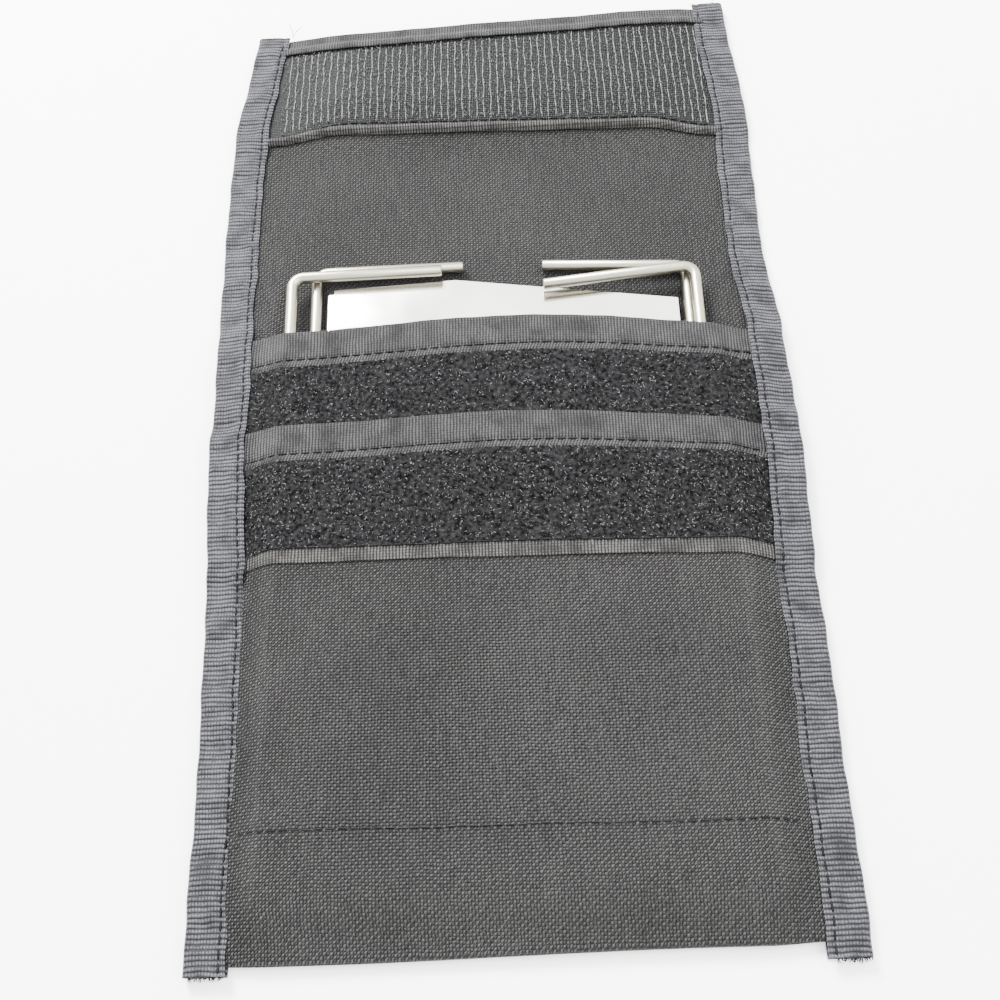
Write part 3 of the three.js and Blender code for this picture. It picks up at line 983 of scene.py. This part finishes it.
def hook_yarn():
    """Greyish clear filament, light only here and there along a ridge."""
    mix = Finish("hook_yarn", 0.4, specular=0.1)
    u, v = mix.flat_cloth()
    broken = mix.streaks(u, v, 50.0, 900.0)
    light = mix.spread(broken, 0.3, 0.6)
    return mix.finish(mix.blend(light, (0.006, 0.0062, 0.0062), (0.105, 0.108, 0.106)))


along, u = grid(50, 150)
x = spread_out(u, inner_span)
y = hook_low(x) + hook_cord + (hook_high(x) + 1.0 - hook_low(x) - hook_cord) * along
x = across(u, y, strip_inset)
hook_tape = panel("hook_tape", x, y, flap_height(x, y) + 0.8, 0.8, hook_ground())
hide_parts("hook_strip")

# Ridges of hooks, one for each lane. They wander a little and close up towards the flap's end.
rng = np.random.default_rng(21)
hook_filament = hook_yarn()
lane = np.arange(-69.5, 69.5, hook_pitch)[:, None]
low = hook_low(lane) + 3.6 + rng.uniform(0.0, 1.5, lane.shape)
high = hook_high(lane) - rng.uniform(0.2, 1.5, lane.shape)
hook_y = low + (high - low) * np.linspace(0, 1, 48)[None]
wander = 0.14 * np.sin(hook_y / 1.9 + lane) + 0.06 * rng.standard_normal(hook_y.shape)
hook_x = lane + wander - 0.035 * (hook_y - 275.0) * lane / 72.0
hook_z = flap_height(hook_x, hook_y) + 1.3 + 0.14 * rng.standard_normal(hook_y.shape)
ridges = np.stack([hook_x, hook_y, hook_z], -1)
hooks = tube_piece("hook_ridges", ridges, hook_radius, 5, hook_filament, taper=0.3, seed=5)


def strewn_hooks(count, seed):
    """Single hooks between the ridges: short arches that stand up from the ground."""
    rng = np.random.default_rng(seed)
    x = rng.uniform(-71.5, 71.5, count)
    y = hook_low(x) + 3.2 + (hook_high(x) - hook_low(x) - 3.8) * rng.random(count)
    t = np.linspace(-1, 1, 5)[None]
    heading = rng.uniform(-0.5, 0.5, count)[:, None] + np.pi / 2
    px = x[:, None] + 0.42 * t * np.cos(heading)
    py = y[:, None] + 0.42 * t * np.sin(heading)
    pz = flap_height(px, py) + 1.15 + rng.uniform(0.3, 0.8, count)[:, None] * (1 - t ** 2)
    arches = np.stack([px, py, pz], -1)
    return tube_piece("single_hooks", arches, single_hook_radius, 3, hook_filament, seed=seed)


single_hooks = strewn_hooks(3200, 33)

# The cord-like selvage, half a sine wave high, and the row of stitches above it.
across_cord, u = grid(9, 220)
x = spread_out(u, inner_span)
swell = np.sin(np.pi * across_cord)
y = hook_low(x) + 3.0 * across_cord + 0.15 * ripple(x, 9)
x = across(u, y, strip_inset)
z = flap_height(x, y) + 0.75 + 1.3 * swell
hook_selvage = cloth("hook_selvage", np.stack([x, y, z], -1), np.stack([y, x], -1), 0.5, selvage_tape)

x = np.linspace(-71.5, 71.5, 400)
y = hook_low(x) + 3.5
hook_path = np.stack([x, y, flap_height(x, y) + 1.25], -1)
lower_seam = stitch_row("hook_lower_seam", hook_path, rise=0.05, share=0.9)
for piece in (hook_tape, hooks, single_hooks, hook_selvage, lower_seam):
    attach(piece, "flap")
    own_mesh(piece)


# End tape ---------------------------------------------------------------------
# The same ribbed tape folded over the flap's free end, mostly to the outside, so that its leaf on
# the inside is narrow. It covers the upper edge of the hook tape.

end_share = np.linspace(0, 1, 260)
end_x = spread_out(end_share, 76.0)
end_y = free_end(end_x) + 0.25 * ripple(end_x, 12)


def carry_end(face):
    """Carries the outline along the flap's end, lifted by 1.3 mm where it lies on the hook tape."""
    inwards, rise = face[None, :, 0], face[None, :, 1]
    y = end_y[:, None] - inwards
    x = across(end_share[:, None], y, tape_leaf - 3.0)
    over_hooks = 1.3 * smooth((inwards - 3.0) / 3.0) * (rise > 0.9)
    return np.stack([x, y, flap_height(x, y) - 0.75 + rise + over_hooks], -1), x


end_tape = folded_tape("flap_end_tape", wrap(7.6, 13.0, 1.7, 0.0, 1.0), carry_end, mouth_tape)
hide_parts("flap_end_binding")
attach(end_tape, "flap")
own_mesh(end_tape)


# Side tapes -------------------------------------------------------------------
# The same tape down both sides, over the ends of everything else, in one length on each side from a
# cut end past the bottom fold to a cut end past the flap. One seam holds it near its inner edge.

def tape_top(y):
    """Height of the front leaf: it climbs over the ends of the loop strips and the mouth tapes."""
    over_front = 1.5 * smooth((y - 97.0) / 6.0) * smooth((150.0 - y) / 6.0)
    over_middle = 1.5 * smooth((186.0 - y) / 9.0)
    over_flap = 1.2 * smooth((y - 250.0) / 8.0)
    return 2.35 + over_middle + over_front + over_flap


side_leaf = tape_leaf + 0.2
side_gap = 2.4  # height of the outline, which tape_top then changes along the side
side_lip = 1.9  # distance of the stitches from the front leaf's edge
table_gap = 0.08


def side_strip(name, side, low, high, replaced):
    """Tape along one side from y low to high: its fold on the outer edge, both leaves inwards."""
    y = np.linspace(low, high, int((high - low) * 1.4))
    edge = outer_edge(side, y)
    gap = tape_top(y) + 0.2 * ripple(y, 6 + side)
    lip_wave = 0.35 * ripple(y * 1.3, 9 - side)
    pucker = 0.1 * np.sin(2 * np.pi * y / stitch_pitch)
    swell = 0.8 * ripple(y * 2.6, 14 + side)

    def carry(face):
        inwards, rise = face[None, :, 0], face[None, :, 1]
        front_share = smooth((rise - 0.5) / 1.2)
        lip_share = smooth((inwards - 8.0) / 3.0) * front_share
        swell_share = smooth(inwards / 2.0) * smooth((9.0 - inwards) / 4.0) * front_share
        seam_share = np.exp(-((inwards - 8.4) / 1.5) ** 2) * front_share
        x = edge[:, None] - side * (inwards + lip_wave[:, None] * lip_share)
        z = edge_lift(x, y[:, None]) + table_gap + rise + (gap[:, None] - side_gap) * front_share
        z = z + swell[:, None] * swell_share + pucker[:, None] * seam_share
        at_y = np.broadcast_to(y[:, None], x.shape)
        return np.stack([x, at_y, z], -1), at_y

    outline = wrap(side_leaf, tape_leaf, side_gap, 0.3, side_lip)
    tape = folded_tape(name, outline, carry, side_tape)
    seam_x = edge - side * (side_leaf - side_lip)
    seam_z = edge_lift(seam_x, y) + table_gap + gap - 0.28
    seam = stitch_row(name + "_seam", np.stack([seam_x, y, seam_z], -1), rise=0.1)
    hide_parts(*replaced)
    for piece in (tape, seam):
        bend_at(piece)


for side, word in ((-1, "left"), (1, "right")):
    side_strip(word + "_body_tape", side, -2.4, fold_middle,
               [word + "_side_binding", word + "_fold_binding"])
    cut_end = free_end(side * 80.0) + 0.8
    side_strip(word + "_flap_tape", side, fold_middle, cut_end,
               [word + "_flap_binding", word + "_fold_binding"])


# Loose threads ----------------------------------------------------------------
# Ends of sewing thread at the flap's two corners, and frayed yarn at the cut ends of the side tapes.

end_radius = 0.11


def loose_ends(name, corner, count, length, heading, spread, body, seed):
    """Curled thread ends that start in one corner and fan out around one heading."""
    rng = np.random.default_rng(seed)
    t = np.linspace(0, 1, 9)[None]
    angle = heading + rng.uniform(-spread, spread, count)[:, None]
    angle = angle + rng.uniform(-0.7, 0.7, count)[:, None] * t
    size = length * rng.uniform(0.5, 1.0, count)[:, None]
    start = np.array(corner) + rng.uniform(-1, 1, (count, 3)) * (min(0.2 * count, 4.5), 0.4, 0.8)
    px = start[:, :1] + np.cumsum(np.cos(angle), axis=1) / 9 * size
    py = start[:, 1:2] + np.cumsum(np.sin(angle), axis=1) / 9 * size
    pz = np.clip(start[:, 2:] + 0.8 * t * rng.uniform(-1, 1, count)[:, None], 0.15, None)
    ends = tube_piece(name, np.stack([px, py, pz], -1), end_radius, 5, thread, taper=0.6, seed=seed)
    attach(ends, body)


loose_ends("left_corner_thread", (-69.5, 301.0, 3.2), 2, 9.0, 1.3, 0.15, "flap", 4)
loose_ends("right_corner_thread", (77.0, 308.0, 2.5), 2, 3.5, 2.0, 0.5, "flap", 6)
loose_ends("left_frayed_end", (-77.5, -2.0, 1.5), 40, 1.4, -1.7, 0.6, "pouch", 7)
loose_ends("right_frayed_end", (80.5, -2.0, 1.5), 40, 1.4, -1.4, 0.6, "pouch", 8)
